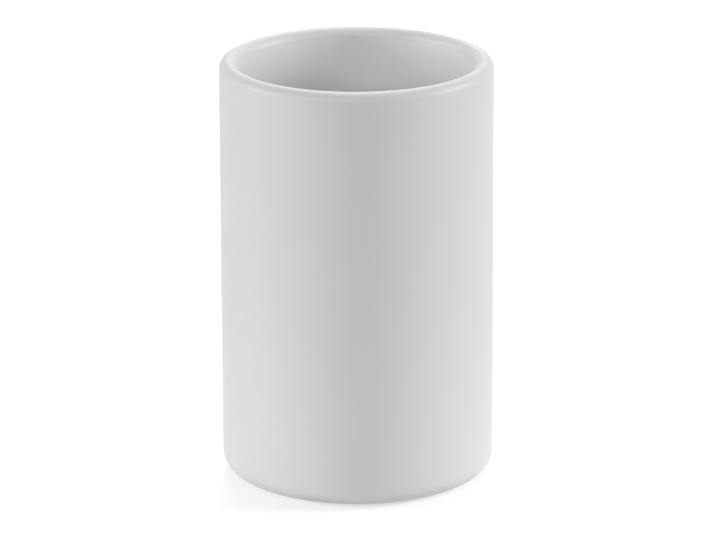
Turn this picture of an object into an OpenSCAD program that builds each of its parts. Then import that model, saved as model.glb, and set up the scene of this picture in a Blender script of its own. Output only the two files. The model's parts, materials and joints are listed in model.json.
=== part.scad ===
// Bathroom tumbler: a straight ceramic cup with a full-round lip. Four
// self-adhesive pads in the recess of its underside keep it from slipping.
// Millimetres. +Z is up, and the origin is on the surface that the tumbler
// stands on, at the middle of the cup.

/* [Cup] */
// Outside diameter of the cup
cup_d = 70; // [62:0.5:84]
// Height of the ceramic, from the foot ring to the top of the lip
cup_h = 109; // [80:0.5:140]
// Thickness of the side wall, which the lip rounds over in one half circle
wall_t = 4.7; // [3:0.1:6.5]
// Thickness of the floor, above the recess in the underside
floor_t = 5; // [3:0.1:9]
// Radius of the outside corner, where the wall turns into the foot ring
foot_corner_r = 4.8; // [2:0.1:7]
// Radius of the inside corner, where the wall turns into the floor
floor_corner_r = 6; // [2:0.1:12]

/* [Foot ring] */
// Width of the flat face of the foot ring
foot_ring_w = 3.2; // [2:0.1:5]
// Depth of the recess inside the foot ring
recess_depth = 1.5; // [1.3:0.05:1.9]
// Radius of the corner inside the recess
recess_corner_r = 0.8; // [0.3:0.05:0.95]
// Radius of the edge between the recess and the foot ring
recess_edge_r = 0.5; // [0.2:0.05:0.65]

/* [Anti-slip pads] */
// Number of pads, evenly spaced round the recess
pad_count = 4; // [3:1:5]
// Diameter of a pad
pad_d = 10; // [6:0.5:12]
// Thickness of a pad, without its adhesive
pad_t = 2; // [1.7:0.1:3.5]
// Radius of the pad's lower edge
pad_edge_r = 0.4; // [0.1:0.05:0.8]
// Gap between a pad and the rounded corner of the recess
pad_gap = 1.2; // [0.5:0.1:2.5]

/* [Adhesive discs] */
// Thickness of the film of adhesive between a pad and the ceramic
adhesive_t = 0.15; // [0.1:0.05:0.4]
// How far the adhesive stays inside the edge of its pad
adhesive_inset = 0.2; // [0.1:0.05:0.6]

/* [Hidden] */
// Reach of a cut past the face that it opens
overrun = 1;
// Smoothness of the curves
$fn = 180;

// Radii from the axis of the cup
cup_r = cup_d / 2;
inner_r = cup_r - wall_t;
lip_r = wall_t / 2;
foot_ring_outer_r = cup_r - foot_corner_r;
foot_ring_inner_r = foot_ring_outer_r - foot_ring_w;
recess_r = foot_ring_inner_r - recess_edge_r;

// Heights above the surface that the pads stand on
recess_top_z = pad_t + adhesive_t;
foot_z = recess_top_z - recess_depth;
floor_z = recess_top_z + floor_t;
lip_z = foot_z + cup_h - lip_r;

// Places of the pads
pad_r = pad_d / 2;
pad_circle_r = recess_r - recess_corner_r - pad_gap - pad_r;
pad_step = 360 / pad_count;

// Names of the pieces
PADS = [for (i = [1:pad_count]) str("foot_pad_", i)];
ADHESIVES = [for (i = [1:pad_count]) str("adhesive_disc_", i)];

// Half section from the axis out to radius r, between two heights,
// with its lower outside corner rounded
module rounded_below(r, z_low, z_high, corner_r) {
    translate([0, z_low])
        square([r - corner_r, z_high - z_low]);
    translate([0, z_low + corner_r])
        square([r, z_high - z_low - corner_r]);
    translate([r - corner_r, z_low + corner_r])
        circle(corner_r);
}

// The cup without its hollow: wall, floor and the half circle of the lip
module cup_block_section() {
    rounded_below(cup_r, foot_z, lip_z, foot_corner_r);
    translate([cup_r - lip_r, lip_z])
        circle(lip_r);
}

// The hollow of the cup, open at the top
module hollow_section() {
    rounded_below(inner_r, floor_z, lip_z + lip_r + overrun, floor_corner_r);
}

// The recess in the underside, with a rounded corner inside
module recess_section() {
    mirror([0, 1])
        rounded_below(recess_r, -recess_top_z, overrun - foot_z, recess_corner_r);
}

// What is taken off to round the edge between the recess and the foot ring
module recess_edge_section() {
    difference() {
        translate([recess_r - overrun, foot_z - overrun])
            square(recess_edge_r + overrun);
        translate([foot_ring_inner_r, foot_z + recess_edge_r])
            circle(recess_edge_r);
    }
}

// The ceramic cup, fired in one piece
module cup() {
    color("#dde0df")
        rotate_extrude()
            difference() {
                cup_block_section();
                hollow_section();
                recess_section();
                recess_edge_section();
            }
}

// Moves a piece from the axis to its place on the circle of pads
module at_pad(i) {
    rotate(pad_step * (i - 0.5))
        translate([pad_circle_r, 0])
            children();
}

// One anti-slip pad, standing on the surface
module foot_pad(i) {
    color("#c4c8c7")
        at_pad(i)
            rotate_extrude()
                rounded_below(pad_r, 0, pad_t, pad_edge_r);
}

// The film of adhesive that holds one pad in the recess
module adhesive_disc(i) {
    color("#d9d3bd")
        at_pad(i)
            translate([0, 0, pad_t])
                cylinder(h = adhesive_t, r = pad_r - adhesive_inset);
}

cup();
for (i = [1:pad_count]) {
    foot_pad(i);
    adhesive_disc(i);
}
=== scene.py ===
# %% [markdown]
# # A ceramic bathroom tumbler
#
# This lesson dresses a plain construction model of a bathroom tumbler: a straight cup of
# white satin-glazed ceramic, with four anti-slip pads glued into its underside.
# The construction model comes first, because it says how large each piece is and where it
# sits. Nearly everything below is measured from it, in metres, with +Z up and the origin on the
# surface that the tumbler stands on.

# %% Load the construction model
import bmesh
import bpy
import json
import math
from mathutils import Matrix, Vector, noise


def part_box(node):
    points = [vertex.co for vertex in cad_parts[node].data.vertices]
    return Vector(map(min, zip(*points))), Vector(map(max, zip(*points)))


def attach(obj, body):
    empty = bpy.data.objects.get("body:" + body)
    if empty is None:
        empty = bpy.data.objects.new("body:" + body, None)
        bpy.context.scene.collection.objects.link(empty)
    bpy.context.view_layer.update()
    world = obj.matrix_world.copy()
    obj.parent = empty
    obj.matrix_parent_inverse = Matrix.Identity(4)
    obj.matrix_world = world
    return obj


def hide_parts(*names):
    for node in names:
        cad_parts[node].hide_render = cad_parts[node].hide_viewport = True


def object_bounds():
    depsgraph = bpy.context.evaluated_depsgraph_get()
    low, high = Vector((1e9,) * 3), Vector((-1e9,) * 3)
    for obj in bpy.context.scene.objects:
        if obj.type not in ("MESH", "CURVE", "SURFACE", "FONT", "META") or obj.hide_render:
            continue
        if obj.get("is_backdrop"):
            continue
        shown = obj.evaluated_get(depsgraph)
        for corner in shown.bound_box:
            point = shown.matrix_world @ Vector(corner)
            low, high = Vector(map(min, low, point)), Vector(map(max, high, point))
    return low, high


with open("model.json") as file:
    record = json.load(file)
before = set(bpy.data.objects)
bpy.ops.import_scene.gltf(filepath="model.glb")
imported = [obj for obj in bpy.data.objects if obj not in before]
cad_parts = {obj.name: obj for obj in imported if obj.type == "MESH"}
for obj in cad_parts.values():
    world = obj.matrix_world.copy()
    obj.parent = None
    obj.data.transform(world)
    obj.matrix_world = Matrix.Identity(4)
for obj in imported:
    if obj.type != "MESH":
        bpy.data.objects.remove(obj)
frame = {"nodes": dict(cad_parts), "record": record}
cad_box = [list(corner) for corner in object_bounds()]
print("construction pieces:", ", ".join(sorted(frame["nodes"])))

# %% [markdown]
# ## Reading the sizes
#
# A turned cup needs only a few sizes: its radius, its wall and the radii of its corners.
# The record that comes with the construction model states two round surfaces, the outer
# wall and the inside wall, each with its radius, its middle and its length. The corners
# are what those straight walls leave over at their ends, so no size has to be typed twice.

# %% The cup's sizes
MM = 0.001
CENTIMETRE = 0.01

record_mounts = {mount["name"]: mount for mount in frame["record"]["mounts"]}


def wall_radius(name):
    """Radius of a straight round wall."""
    return record_mounts[name]["dims"]["r_mm"] * MM


def wall_low_z(name):
    """Height of the lower end of a straight round wall."""
    middle_z = record_mounts[name]["pos_m"][2]
    return middle_z - record_mounts[name]["dims"]["length_mm"] * MM / 2


cup_low, cup_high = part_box("cup")
foot_z = cup_low.z
rim_z = cup_high.z
outer_r = wall_radius("outer_wall")
inner_r = wall_radius("inside_wall")
wall = outer_r - inner_r
lip_r = wall / 2
lip_low_z = rim_z - lip_r
foot_corner_r = wall_low_z("outer_wall") - foot_z
print(f"cup {2 * outer_r / MM:.1f} mm across, wall {wall / MM:.2f} mm")
print(f"lip radius {lip_r / MM:.2f} mm, foot corner {foot_corner_r / MM:.2f} mm")

# %% [markdown]
# ## Sizes that can't be measured
#
# The underside and the inside corner lie between faces that the record doesn't list, so their
# few sizes are typed here. They are the usual ones for a cup that is cast in a mould: a floor
# about as thick as the wall, a narrow foot ring, and no sharp corner that could crack.

# %% The underside's sizes
pad_names = sorted(name for name in frame["nodes"] if name.startswith("foot_pad_"))
adhesive_names = sorted(name for name in frame["nodes"] if name.startswith("adhesive_disc_"))

floor_thickness = 5.0 * MM
floor_corner_r = 6.0 * MM
foot_ring_width = 3.2 * MM
recess_edge_r = 0.5 * MM
recess_corner_r = 0.8 * MM

recess_top_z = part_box(adhesive_names[0])[1].z
recess_r = outer_r - foot_corner_r - foot_ring_width - recess_edge_r
floor_z = recess_top_z + floor_thickness
print(f"recess {(recess_top_z - foot_z) / MM:.2f} mm deep, {len(pad_names)} pads under it")

# %% [markdown]
# ## Looking from where the photographer stood
#
# A picture of a cup says a lot about its camera. The rim is an ellipse, and its height over
# its width is the sine of the angle that the camera looks down at. The sides draw in towards
# the foot, which says how far away the camera stood. Here both give a long lens, well back
# and about 17 degrees up. The camera is turned by its axes: `to_track_quat` aims it, and a
# small turn about its own line of sight leans the picture the way the photograph leans.

# %% The camera
cup_middle = Vector((0, 0, (foot_z + rim_z) / 2))
camera_elevation = math.radians(17.17)
camera_distance = 1.2843
lens_mm = 250.9
sensor_mm = 36.0
picture_lean = math.radians(-0.22)
aim_right = 0.217 * MM
aim_down = 1.666 * MM

camera_data = bpy.data.cameras.new("photograph_camera")
camera_data.lens = lens_mm
camera_data.sensor_width = sensor_mm
camera_data.clip_start = 0.05
camera_data.clip_end = 50
camera = bpy.data.objects.new("photograph_camera", camera_data)
bpy.context.scene.collection.objects.link(camera)
bpy.context.scene.camera = camera

towards_camera = Vector((0, -math.cos(camera_elevation), math.sin(camera_elevation)))
camera_turn = (-towards_camera).to_track_quat("-Z", "Y")
right_of_view = camera_turn @ Vector((1, 0, 0))
up_of_view = camera_turn @ Vector((0, 1, 0))
camera.location = (cup_middle + towards_camera * camera_distance
                   + right_of_view * aim_right - up_of_view * aim_down)
camera.rotation_mode = "QUATERNION"
camera.rotation_quaternion = camera_turn @ Matrix.Rotation(picture_lean, 3, "Z").to_quaternion()
print(f"camera {camera_distance:.2f} m away with a {lens_mm:.0f} mm lens")

# %% [markdown]
# ## Turning a section into a round piece
#
# A potter's cup is a shape of revolution, and so is a moulded pad. Blender can make one in
# several ways: a Screw modifier, a lathed curve, or the spin operator in mesh code. Spin is
# used here because the half section can be an ordinary flat face first. Its sharp corners are
# then rounded with bevel, which gives true quarter circles, and only the outline is spun.

# %% Helpers for turned pieces
TINY = 1e-7


def half_section(corners):
    """A flat face in the XZ plane. Each corner is (radius, height)."""
    bm = bmesh.new()
    bm.faces.new([bm.verts.new((radius, 0, height)) for radius, height in corners])
    return bm


def round_corners(bm, corners, radius, segments):
    """Rounds the section's corners at these (radius, height) places."""
    places = [Vector((across, 0, height)) for across, height in corners]
    found = [min(bm.verts, key=lambda vert: (vert.co - place).length) for place in places]
    bmesh.ops.bevel(bm, geom=found, offset=radius, offset_type="OFFSET", segments=segments,
                    profile=0.5, affect="VERTICES", clamp_overlap=False, material=-1)


def divide_long_edges(bm, longest):
    """Cuts each edge of the section that is longer than this into equal parts."""
    for edge in [edge for edge in bm.edges if edge.calc_length() > longest]:
        cuts = math.ceil(edge.calc_length() / longest) - 1
        bmesh.ops.subdivide_edges(bm, edges=[edge], cuts=cuts)


def turn_about_axis(bm, steps):
    """Spins the section's outline once round the Z axis into a closed skin."""
    bmesh.ops.delete(bm, geom=bm.faces[:], context="FACES_ONLY")
    on_axis = [edge for edge in bm.edges if max(vert.co.x for vert in edge.verts) < TINY]
    bmesh.ops.delete(bm, geom=on_axis, context="EDGES")
    bmesh.ops.spin(bm, geom=bm.verts[:] + bm.edges[:], cent=(0, 0, 0), axis=(0, 0, 1),
                   angle=math.tau, steps=steps, use_merge=True, use_duplicate=False)
    bmesh.ops.remove_doubles(bm, verts=bm.verts[:], dist=TINY)
    bmesh.ops.recalc_face_normals(bm, faces=bm.faces[:])


CREASE = math.radians(35)


def make_piece(bm, name, materials):
    """Turns the finished bmesh into an object, smooth except over sharp creases."""
    for face in bm.faces:
        face.smooth = True
    open_edges = sum(not edge.is_manifold for edge in bm.edges)
    triangles = sum(len(face.verts) - 2 for face in bm.faces)
    mesh = bpy.data.meshes.new(name)
    bm.to_mesh(mesh)
    bm.free()
    mesh.set_sharp_from_angle(angle=CREASE)
    for material in materials:
        mesh.materials.append(material)
    piece = bpy.data.objects.new(name, mesh)
    bpy.context.scene.collection.objects.link(piece)
    print(f"{name}: {triangles} triangles, {open_edges} open edges")
    return piece


print(f"points closer than {TINY} m are merged, creases over {math.degrees(CREASE):.0f} degrees stay sharp")

# %% [markdown]
# ## The section of the cup
#
# The wall, the floor, the lip and the foot ring are one body of clay, so they are one
# section. It starts as eight sharp corners. The lip's two corners get half the wall as their
# radius, so that they meet as the full round that the photograph shows. The foot, the recess
# under it and the corner inside each get their own radius.

# %% Draw and round the cup's section
LONGEST_EDGE = 2.4 * MM

cup_section = half_section([
    (0, recess_top_z),
    (recess_r, recess_top_z),
    (recess_r, foot_z),
    (outer_r, foot_z),
    (outer_r, rim_z),
    (inner_r, rim_z),
    (inner_r, floor_z),
    (0, floor_z),
])
round_corners(cup_section, [(outer_r, rim_z), (inner_r, rim_z)], lip_r, segments=14)
round_corners(cup_section, [(outer_r, foot_z)], foot_corner_r, segments=16)
round_corners(cup_section, [(inner_r, floor_z)], floor_corner_r, segments=14)
round_corners(cup_section, [(recess_r, foot_z)], recess_edge_r, segments=5)
round_corners(cup_section, [(recess_r, recess_top_z)], recess_corner_r, segments=6)
divide_long_edges(cup_section, LONGEST_EDGE)
bmesh.ops.remove_doubles(cup_section, verts=cup_section.verts[:], dist=TINY)
print("points in the cup's section:", len(cup_section.verts))

# %% Turn the cup
CUP_STEPS = 288
turn_about_axis(cup_section, CUP_STEPS)
cup_skin = cup_section
reach = max(Vector((vert.co.x, vert.co.y)).length for vert in cup_skin.verts)
print(f"cup turned in {CUP_STEPS} steps, {2 * reach / MM:.2f} mm across")

# %% [markdown]
# ## The bare ring of clay under the foot
#
# A cup would stick to the kiln shelf if its foot were glazed, so the flat of the foot ring is
# wiped clean before firing. What is left is a ring of bare clay, a glaze's thickness deeper
# than the glaze around it. It shows only from below, but it is what tells a real ceramic foot
# from a plastic one. Two insets make it: one for the glaze's rounded edge, one for the step.

# %% Wipe the glaze off the foot ring
glaze_thickness = 0.13 * MM
glaze_edge = 0.35 * MM
step_width = 0.06 * MM
BARE_CLAY = 1


def on_foot_flat(face):
    """True for the faces on the flat of the foot ring."""
    level = all(abs(vert.co.z - foot_z) < TINY for vert in face.verts)
    return level and face.calc_center_median().length > recess_r


foot_flat = [face for face in cup_skin.faces if on_foot_flat(face)]
bmesh.ops.inset_region(cup_skin, faces=foot_flat, thickness=glaze_edge, depth=0,
                       use_boundary=True, use_even_offset=True)
bmesh.ops.inset_region(cup_skin, faces=foot_flat, thickness=step_width,
                       depth=-glaze_thickness, use_boundary=True, use_even_offset=True)
for face in foot_flat:
    face.material_index = BARE_CLAY
print("faces of bare clay:", len(foot_flat))

# %% [markdown]
# ## Fired clay is never quite true
#
# A slip-cast cup comes out of the kiln a few hundredths of a millimetre out of round. The eye
# doesn't see the shape, but it sees the reflections wander, and a cup without that looks like
# plastic. Each point is moved along its normal by slow noise, and only ever inwards, so that
# the cup keeps the outside size of the construction model.

# %% Let the kiln move the wall
kiln_movement = 0.04 * MM
kiln_wave = 26 * MM
kiln_seed = Vector((3.1, 7.7, 1.9))


def kiln_shift(vert):
    """How far the kiln moved this point: slow noise along its normal, inwards only."""
    wave = noise.noise(vert.co / kiln_wave + kiln_seed)
    share = (1 + wave) / 2
    return vert.normal * -kiln_movement * share


cup_skin.normal_update()
true_volume = cup_skin.calc_volume()
shifts = [(vert, kiln_shift(vert)) for vert in cup_skin.verts]
for vert, shift in shifts:
    vert.co += shift
most_moved = max(shift.length for vert, shift in shifts)
print(f"{true_volume / CENTIMETRE**3:.1f} cubic centimetres of clay")
print(f"the kiln moved it by up to {most_moved / MM:.3f} mm")

# %% [markdown]
# ## Building materials from nodes
#
# Every finish below has a Principled shader at its end. Values that are the same all over the
# surface are typed into its sockets. What varies is driven by noise that reads Object
# coordinates, which are metres here, so a noise scale of 1000 makes spots about a millimetre
# apart. A few small helpers keep the node wiring short enough to read. The Mix node has a
# set of sockets for each kind of value under the same names, so its colour sockets are
# reached by their numbers. Noise keeps to the middle of its range, so `clouds` stretches the
# part between NOISE_LOW and NOISE_HIGH.

# %% Helpers for node materials
MIX_COLOUR_A = 6
MIX_COLOUR_B = 7
MIX_COLOUR_RESULT = 2
NOISE_LOW = 0.3
NOISE_HIGH = 0.7


class Finish:
    """A node material with one Principled shader and Object coordinates."""

    def __init__(self, name):
        self.material = bpy.data.materials.new(name)
        self.material.use_nodes = True
        self.tree = self.material.node_tree
        self.tree.nodes.clear()
        self.output = self.tree.nodes.new("ShaderNodeOutputMaterial")
        self.shader = self.tree.nodes.new("ShaderNodeBsdfPrincipled")
        self.link(self.shader.outputs["BSDF"], self.output.inputs["Surface"])
        self.place = self.tree.nodes.new("ShaderNodeTexCoord").outputs["Object"]

    def link(self, source, target):
        self.tree.links.new(source, target)

    def set(self, **values):
        """Types constant values into the shader, such as Roughness=0.4."""
        for name, value in values.items():
            self.shader.inputs[name.replace("_", " ")].default_value = value

    def noise(self, scale, detail=2.0, roughness=0.5):
        """Soft noise from 0 to 1. The scale is in waves per metre."""
        node = self.tree.nodes.new("ShaderNodeTexNoise")
        node.inputs["Scale"].default_value = scale
        node.inputs["Detail"].default_value = detail
        node.inputs["Roughness"].default_value = roughness
        self.link(self.place, node.inputs["Vector"])
        return node.outputs["Fac"]

    def spots(self, scale):
        """Distance to the nearest of many scattered points, for specks and pores."""
        node = self.tree.nodes.new("ShaderNodeTexVoronoi")
        node.inputs["Scale"].default_value = scale
        self.link(self.place, node.inputs["Vector"])
        return node.outputs["Distance"]

    def spread(self, value, low, high, to_low=0.0, to_high=1.0):
        """Maps low..high of a value onto to_low..to_high, and holds it there outside."""
        node = self.tree.nodes.new("ShaderNodeMapRange")
        node.inputs["From Min"].default_value = low
        node.inputs["From Max"].default_value = high
        node.inputs["To Min"].default_value = to_low
        node.inputs["To Max"].default_value = to_high
        self.link(value, node.inputs["Value"])
        return node.outputs["Result"]

    def clouds(self, scale, detail=2.0, roughness=0.5, to_low=0.0, to_high=1.0):
        """Soft noise, stretched so that it fills to_low..to_high."""
        soft = self.noise(scale, detail, roughness)
        return self.spread(soft, NOISE_LOW, NOISE_HIGH, to_low, to_high)

    def mix(self, share, first, second):
        """Mixes two colours. Each is an RGB tuple or another node's output."""
        node = self.tree.nodes.new("ShaderNodeMix")
        node.data_type = "RGBA"
        self.link(share, node.inputs["Factor"])
        for number, colour in ((MIX_COLOUR_A, first), (MIX_COLOUR_B, second)):
            socket = node.inputs[number]
            if isinstance(colour, tuple):
                socket.default_value = (*colour, 1.0)
            else:
                self.link(colour, socket)
        return node.outputs[MIX_COLOUR_RESULT]

    def maths(self, operation, first, second):
        """One arithmetic step between two values. Either may be a number."""
        node = self.tree.nodes.new("ShaderNodeMath")
        node.operation = operation
        for socket, value in zip(node.inputs, (first, second)):
            if isinstance(value, (int, float)):
                socket.default_value = value
            else:
                self.link(value, socket)
        return node.outputs[0]

    def height(self):
        """The height of the point, in metres."""
        node = self.tree.nodes.new("ShaderNodeSeparateXYZ")
        self.link(self.place, node.inputs["Vector"])
        return node.outputs["Z"]

    def from_axis(self):
        """How far the point is from the Z axis, in metres."""
        flat = self.tree.nodes.new("ShaderNodeVectorMath")
        flat.operation = "MULTIPLY"
        flat.inputs[1].default_value = (1, 1, 0)
        self.link(self.place, flat.inputs[0])
        node = self.tree.nodes.new("ShaderNodeVectorMath")
        node.operation = "LENGTH"
        self.link(flat.outputs["Vector"], node.inputs[0])
        return node.outputs["Value"]

    def relief(self, value, depth, under=None):
        """Bump of this depth in metres, on top of another bump if one is given."""
        node = self.tree.nodes.new("ShaderNodeBump")
        node.inputs["Distance"].default_value = depth
        self.link(value, node.inputs["Height"])
        if under is not None:
            self.link(under, node.inputs["Normal"])
        return node.outputs["Normal"]


print("finish helpers are ready")

# %% [markdown]
# ## Satin glaze
#
# Satin glaze is white glass full of fine crystals, with a trace of green in it. It has no
# mirror in it: the crystals scatter a reflection widely, so the roughness is high for
# something glazed. Up close it isn't even. Painted light is laid into its colour: the wall is
# painted whiter towards the foot as painted light from below, the inside of the cup is painted
# whiter as painted light, and the crest of the lip is painted whiter as a painted highlight.
# Its surface ripples like orange peel, and its roughness drifts from place to place. Height
# and distance from the axis decide where each of these shows. The colours lie one over
# another: the wall, the painted light inside, the painted highlight on the crest, and a few
# faint specks.

# %% The glaze
# The painted highlight on the crest of the lip is full near the top and fades out below it.
crest_highlight_top = 0.35 * MM
crest_highlight_fade = 0.6 * MM
# The painted light inside the cup fades out over these heights below and above the lip's lower end.
painted_inside_light_fade_below = 0.3 * MM
painted_inside_light_fade_above = 0.7 * MM
# Share of the painted light from below, at the foot.
foot_painted_light_share = 0.5
speck_share = 0.12
smoothest_glaze = 0.41
roughest_glaze = 0.48
peel_depth = 0.012 * MM
grain_depth = 0.0012 * MM


def satin_glaze():
    """White satin glaze over the whole cup except the ring of bare clay."""
    glaze = Finish("satin_glaze")
    thick_white = (0.832, 0.850, 0.841)
    thin_white = (0.822, 0.839, 0.830)
    # Painted light: the white of the painted light inside the cup and towards the foot.
    painted_light_white = (0.908, 0.923, 0.915)
    # Painted highlight: the white of the crest of the lip.
    crest_highlight_white = (0.885, 0.895, 0.887)
    speck_brown = (0.50, 0.48, 0.44)
    drift = glaze.clouds(scale=22, detail=3)
    wall_white = glaze.mix(drift, thick_white, thin_white)
    # Painted light: the wall is painted whiter towards the foot, as painted light from below.
    painted_light_from_below = glaze.spread(glaze.height(), foot_z, cup_middle.z, to_low=foot_painted_light_share, to_high=0)
    wall_white = glaze.mix(painted_light_from_below, wall_white, painted_light_white)

    # Painted light: the inside of the cup is painted whiter, as painted light.
    within_wall = glaze.spread(glaze.from_axis(), inner_r, outer_r - lip_r, to_low=1, to_high=0)
    above_floor = glaze.spread(glaze.height(), recess_top_z, floor_z)
    fade_from = lip_low_z - painted_inside_light_fade_below
    fade_to = lip_low_z + painted_inside_light_fade_above
    below_lip = glaze.spread(glaze.height(), fade_from, fade_to, to_low=1, to_high=0)
    painted_inside_light = glaze.maths("MULTIPLY", within_wall, glaze.maths("MULTIPLY", above_floor, below_lip))
    with_painted_inside_light = glaze.mix(painted_inside_light, wall_white, painted_light_white)

    # Painted highlight: the crest of the lip is painted whiter.
    painted_crest_highlight = glaze.spread(glaze.height(), rim_z - crest_highlight_fade, rim_z - crest_highlight_top)
    with_crest_highlight = glaze.mix(painted_crest_highlight, with_painted_inside_light, crest_highlight_white)
    specks = glaze.spread(glaze.spots(scale=230), low=0.03, high=0.045, to_low=speck_share, to_high=0)
    glaze.link(glaze.mix(specks, with_crest_highlight, speck_brown), glaze.shader.inputs["Base Color"])

    uneven = glaze.clouds(scale=60, detail=4, roughness=0.6, to_low=smoothest_glaze, to_high=roughest_glaze)
    glaze.link(uneven, glaze.shader.inputs["Roughness"])
    peel = glaze.relief(glaze.noise(scale=420, detail=1), peel_depth)
    grain = glaze.relief(glaze.noise(scale=3200, detail=2), grain_depth, under=peel)
    glaze.link(grain, glaze.shader.inputs["Normal"])
    glaze.set(IOR=1.5, Specular_IOR_Level=0.5)
    return glaze.material


glaze_material = satin_glaze()
print("glaze nodes:", len(glaze_material.node_tree.nodes))

# %% [markdown]
# ## Bare fired clay
#
# Where the foot ring was wiped, the body of the cup shows: off-white, dull and slightly
# porous, with grey where years of shelves have rubbed it. A dull surface needs a roughness
# near 1, and its pores need a bump that is coarse next to the glaze's.

# %% The bare clay
pore_depth = 0.03 * MM
sand_depth = 0.02 * MM
most_rubbed = 0.45
fired_roughness = 0.92
rubbed_roughness = 0.7


def bare_clay():
    """Off-white fired clay, mottled, porous and rubbed grey in places."""
    clay = Finish("bare_clay")
    cream = (0.66, 0.62, 0.55)
    pale = (0.72, 0.69, 0.63)
    rubbed = (0.46, 0.45, 0.43)
    mottle = clay.spread(clay.noise(scale=700, detail=5, roughness=0.65), low=0.35, high=0.65)
    rubbing = clay.noise(scale=160, detail=4, roughness=0.7)
    rub = clay.spread(rubbing, low=0.56, high=0.72, to_high=most_rubbed)
    clay.link(clay.mix(rub, clay.mix(mottle, cream, pale), rubbed), clay.shader.inputs["Base Color"])
    dullness = clay.spread(rub, 0, most_rubbed, fired_roughness, rubbed_roughness)
    clay.link(dullness, clay.shader.inputs["Roughness"])
    pores = clay.relief(clay.spread(clay.spots(scale=2600), low=0.05, high=0.35), pore_depth)
    sand = clay.relief(clay.noise(scale=2400, detail=4), sand_depth, under=pores)
    clay.link(sand, clay.shader.inputs["Normal"])
    clay.set(Specular_IOR_Level=0.35)
    return clay.material


clay_material = bare_clay()
print("clay nodes:", len(clay_material.node_tree.nodes))

# %% The finished cup
cup = make_piece(cup_skin, "tumbler_cup", [glaze_material, clay_material])
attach(cup, "root")
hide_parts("cup")

# %% [markdown]
# ## Anti-slip pads
#
# Four soft pads lie in the recess and stand a little proud of the foot ring, so that the cup
# rests on them and doesn't ring or slide on a glass shelf. Each is a moulded disc: its lower
# edge is rounded, its side bulges a little under the cup's weight, and its face carries a
# ring-shaped groove that lets water out and a dimple where the mould was filled. It is the
# same kind of turned section as the cup, moved out to its place when it is done.

# %% Helpers for the pads' sections
PAD_STEPS = 72
pad_low, pad_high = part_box(pad_names[0])
pad_r = (pad_high.x - pad_low.x) / 2
pad_thickness = pad_high.z - pad_low.z
pad_edge_r = 0.32 * MM
side_bulge = 0.12 * MM
bulge_z = pad_thickness / 2
bulge_round = pad_thickness * 0.45
mould_corner_r = 0.12 * MM
groove_depth = 0.25 * MM
groove_middle_r = pad_r * 0.6
groove_half_width = 0.45 * MM
dimple_r = 0.6 * MM
dimple_bottom_r = 0.3 * MM
dimple_depth = 0.18 * MM


def pad_section():
    """Half section of one pad about its own axis, with its face down."""
    waist_r = pad_r - side_bulge
    groove_in = groove_middle_r - groove_half_width
    groove_out = groove_middle_r + groove_half_width
    bm = half_section([
        (0, dimple_depth),
        (dimple_bottom_r, dimple_depth),
        (dimple_r, 0),
        (groove_in, 0),
        (groove_in, groove_depth),
        (groove_out, groove_depth),
        (groove_out, 0),
        (waist_r, 0),
        (pad_r, bulge_z),
        (waist_r, pad_thickness),
        (0, pad_thickness),
    ])
    round_corners(bm, [(pad_r, bulge_z)], bulge_round, segments=8)
    round_corners(bm, [(waist_r, 0)], pad_edge_r, segments=5)
    round_corners(bm, [(groove_in, 0), (groove_out, 0)], mould_corner_r, segments=3)
    round_corners(bm, [(groove_in, groove_depth), (groove_out, groove_depth)], mould_corner_r, segments=3)
    round_corners(bm, [(dimple_r, 0), (dimple_bottom_r, dimple_depth)], mould_corner_r, segments=3)
    return bm


print(f"pad {2 * pad_r / MM:.1f} mm across and {pad_thickness / MM:.1f} mm thick")

# %% [markdown]
# ## Soft grey pad material
#
# The pads are a soft grey elastomer, slightly translucent and matte, so dust and ceramic
# rub-off show on the face that they stand on. The side stays cleaner than the face. The
# height of the point decides between the two, because the worn face is at height zero.

# %% The pad material
worn_depth = 0.3 * MM
most_scuffed = 0.7
moulded_roughness = 0.55
scuffed_roughness = 0.8
pad_skin_depth = 0.006 * MM


def soft_pad():
    """Soft grey elastomer, scuffed on the face that stands on the shelf."""
    pad = Finish("soft_pad")
    clean = (0.52, 0.53, 0.53)
    cloudy = (0.58, 0.59, 0.585)
    scuffed = (0.68, 0.68, 0.66)
    drift = pad.clouds(scale=300, detail=3)
    near_face = pad.spread(pad.height(), 0, worn_depth, to_low=1, to_high=0)
    rubbing = pad.noise(scale=1500, detail=5, roughness=0.7)
    rub = pad.spread(rubbing, low=0.5, high=0.7, to_high=most_scuffed)
    scuffs = pad.maths("MULTIPLY", near_face, rub)
    pad.link(pad.mix(scuffs, pad.mix(drift, clean, cloudy), scuffed), pad.shader.inputs["Base Color"])
    dullness = pad.spread(scuffs, 0, most_scuffed, moulded_roughness, scuffed_roughness)
    pad.link(dullness, pad.shader.inputs["Roughness"])
    skin = pad.relief(pad.noise(scale=5200, detail=3), pad_skin_depth)
    pad.link(skin, pad.shader.inputs["Normal"])
    pad.set(Subsurface_Weight=0.08, Subsurface_Scale=0.001)
    return pad.material


pad_material = soft_pad()
print("pad nodes:", len(pad_material.node_tree.nodes))

# %% [markdown]
# ## Four pads in their places
#
# Each pad is turned about the Z axis and then moved to where the construction model has its
# pad. The mesh is moved and not the object, so that the object stays at the origin and a
# noise on Object coordinates gives each pad its own scuffs.

# %% Make the pads and move them to their places
def move_onto(bm, low, high):
    """Moves a turned piece from the Z axis onto the middle of this box, at its lower side."""
    middle = (low + high) / 2
    bmesh.ops.translate(bm, verts=bm.verts[:], vec=(middle.x, middle.y, low.z))


for name in pad_names:
    low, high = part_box(name)
    bm = pad_section()
    turn_about_axis(bm, PAD_STEPS)
    move_onto(bm, low, high)
    pad = make_piece(bm, f"anti_slip_{name}", [pad_material])
    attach(pad, "root")
    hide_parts(name)

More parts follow.
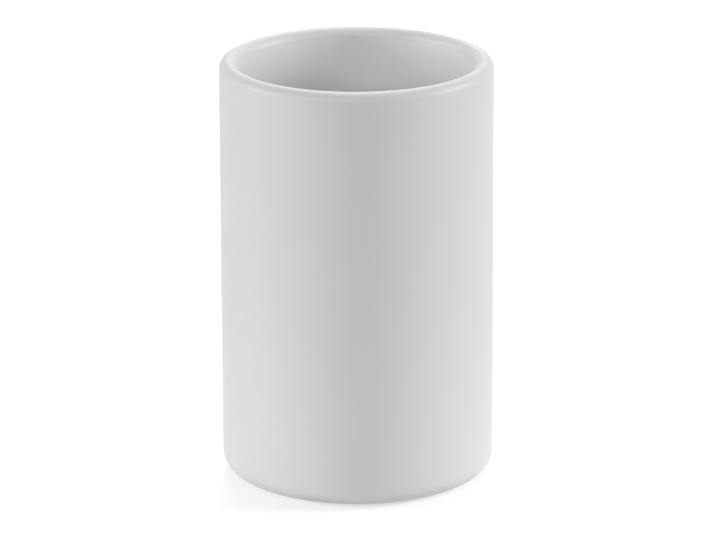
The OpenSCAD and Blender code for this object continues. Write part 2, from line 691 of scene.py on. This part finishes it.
# %% [markdown]
# ## Films of adhesive
#
# Between each pad and the ceramic lies a film of clear, slightly yellow adhesive. It is cut a
# little smaller than the pad, so from the side it is a fine dark line with a glint in it. Its
# cut edge isn't quite round, so noise pulls the rim in a little, here more and there less.

# %% The adhesive
bubble_depth = 0.01 * MM


def clear_adhesive():
    """Slightly yellow, glossy adhesive with small bubbles in it."""
    film = Finish("clear_adhesive")
    amber = (0.66, 0.58, 0.38)
    pale_amber = (0.74, 0.69, 0.53)
    bubbles = film.spread(film.spots(scale=2200), low=0.08, high=0.2)
    film.link(film.mix(bubbles, amber, pale_amber), film.shader.inputs["Base Color"])
    film.link(film.relief(bubbles, bubble_depth), film.shader.inputs["Normal"])
    film.link(film.clouds(scale=900, to_low=0.25, to_high=0.4), film.shader.inputs["Roughness"])
    film.set(Subsurface_Weight=0.15, Subsurface_Scale=0.0005)
    return film.material


adhesive_material = clear_adhesive()
print("adhesive nodes:", len(adhesive_material.node_tree.nodes))

# %% Cut the films
edge_wander = 0.08 * MM
edge_waves = 2.3
film_rings = 3


def ragged_edge(bm):
    """Pulls a film's points towards its axis by noise, so never past the cut size."""
    for vert in bm.verts:
        flat = Vector((vert.co.x, vert.co.y, 0))
        if flat.length > TINY:
            wave = noise.noise(flat.normalized() * edge_waves)
            vert.co -= flat.normalized() * edge_wander * (1 + wave) / 2


for name in adhesive_names:
    low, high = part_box(name)
    film_r = (high.x - low.x) / 2
    film_thickness = high.z - low.z
    bm = half_section([(0, 0), (film_r, 0), (film_r, film_thickness), (0, film_thickness)])
    divide_long_edges(bm, film_r / film_rings)
    turn_about_axis(bm, PAD_STEPS)
    ragged_edge(bm)
    move_onto(bm, low, high)
    film = make_piece(bm, f"film_{name}", [adhesive_material])
    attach(film, "root")
    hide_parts(name)

# %% [markdown]
# ## A pale floor
#
# The cup stands on a small round of pale, matte floor that catches its shadow. A wide one
# would throw so much light up that the lower half of the wall turned white. The photograph's
# background is pure white. More light would bleach the cup with it, so the white comes from a
# little glow instead, which only the camera and reflections see. Glow and lamplight together
# reach white where nothing shades the floor, and stay below it where the cup stands.

# %% The floor
floor_reach = 0.56
floor_steps = 96
floor_glow = 0.50
floor_white = 0.84
floor_shade = floor_white * 0.985


def pale_floor():
    """Matte, nearly white floor with a glow that only the camera and reflections see."""
    floor = Finish("pale_floor")
    patches = floor.clouds(scale=3, detail=4)
    tint = floor.mix(patches, (floor_white,) * 3, (floor_shade,) * 3)
    floor.link(tint, floor.shader.inputs["Base Color"])
    floor.set(Roughness=0.9, Specular_IOR_Level=0.2)
    rays = floor.tree.nodes.new("ShaderNodeLightPath")
    seen = floor.maths("ADD", rays.outputs["Is Camera Ray"], rays.outputs["Is Glossy Ray"])
    seen = floor.maths("ADD", seen, rays.outputs["Is Transmission Ray"])
    floor.link(floor.maths("MULTIPLY", seen, floor_glow), floor.shader.inputs["Emission Strength"])
    floor.set(Emission_Color=(1, 1, 1, 1))
    return floor.material


bm = bmesh.new()
bmesh.ops.create_circle(bm, cap_ends=True, cap_tris=False, segments=floor_steps, radius=floor_reach)
floor = make_piece(bm, "pale_floor", [pale_floor()])
floor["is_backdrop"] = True

# %% [markdown]
# ## Soft studio light
#
# The photograph tells where its lamps stood. Both flanks of the cup are evenly bright and the
# front is darker, so a soft box stood at either side, the stronger one at the right. The front
# is far from black, and it darkens more slowly from the left, so a wide and weaker box stood
# in front, more to the left. The crest of the lip is the brightest line of all, which takes a
# box behind and a small one straight above. They are boxes and not points, because there is
# no small bright spot anywhere on the satin wall.

# %% The lamps
def soft_box(name, place, width, height, power):
    """A rectangular lamp that faces the middle of the cup."""
    lamp = bpy.data.lights.new(name, "AREA")
    lamp.shape = "RECTANGLE"
    lamp.size = width
    lamp.size_y = height
    lamp.energy = power
    box = bpy.data.objects.new(name, lamp)
    box.location = place
    box.rotation_mode = "QUATERNION"
    box.rotation_quaternion = (cup_middle - Vector(place)).to_track_quat("-Z", "Y")
    box.visible_camera = False
    bpy.context.scene.collection.objects.link(box)
    return box


lamps = [
    soft_box("left_soft_box", place=(-1.95, -0.16, 0.45), width=0.75, height=0.60, power=13.9),
    soft_box("right_soft_box", place=(1.90, 0.02, 0.69), width=0.74, height=1.03, power=22.4),
    soft_box("front_soft_box", place=(-0.64, -1.77, 0.74), width=2.17, height=0.42, power=12.8),
    soft_box("back_soft_box", place=(0.04, 1.49, 1.39), width=0.55, height=1.46, power=10.6),
    soft_box("top_soft_box", place=(0, 0.17, 2.05), width=0.50, height=0.50, power=5.4),
]
for lamp in lamps:
    print(f"{lamp.name}: {lamp.data.energy:.1f} W, {lamp.data.size:.2f} by {lamp.data.size_y:.2f} m")

# %% [markdown]
# ## A white room that doesn't bleach the cup
#
# Past the floor the camera looks into a white room, and reflections and anything clear show
# it too. Were the cup lit that strongly from all around, its shading would wash out. The
# Light Path node tells the kinds of ray apart: the world has a strength of 1 for the rays that
# see the room, and a dim one for those that only carry its light to the cup.

# %% The white room
room_light = 0.06

world = bpy.data.worlds.new("white_room")
world.use_nodes = True
world_light = world.node_tree.nodes["Background"]
world_light.inputs["Color"].default_value = (1, 1, 1, 1)
world_rays = world.node_tree.nodes.new("ShaderNodeLightPath")


def add_in_world(first, second):
    """Adds two values with a node of the world, and stops at 1. Either may be a number."""
    node = world.node_tree.nodes.new("ShaderNodeMath")
    node.operation = "ADD"
    node.use_clamp = True
    for socket, value in zip(node.inputs, (first, second)):
        if isinstance(value, float):
            socket.default_value = value
        else:
            world.node_tree.links.new(value, socket)
    return node.outputs[0]


room_seen = add_in_world(world_rays.outputs["Is Camera Ray"], world_rays.outputs["Is Glossy Ray"])
room_seen = add_in_world(room_seen, world_rays.outputs["Is Transmission Ray"])
world.node_tree.links.new(add_in_world(room_seen, room_light), world_light.inputs["Strength"])
bpy.context.scene.world = world
bpy.context.scene.view_settings.view_transform = "Standard"
print(f"room: white to the camera, {room_light:.2f} of that as light")

# %% [markdown]
# ## Check the size and finish
#
# A dressed model has to fit the construction model's box, or it would no longer pass through
# the same ring or stand on the same shelf. Both boxes are written down side by side.

# %% Compare the boxes and finish
dressed_box = [list(corner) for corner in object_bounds()]
for axis, (low, high) in enumerate(zip(*dressed_box)):
    built = cad_box[1][axis] - cad_box[0][axis]
    print(f"{'XYZ'[axis]}: {(high - low) / MM:.2f} mm dressed, {built / MM:.2f} mm built")
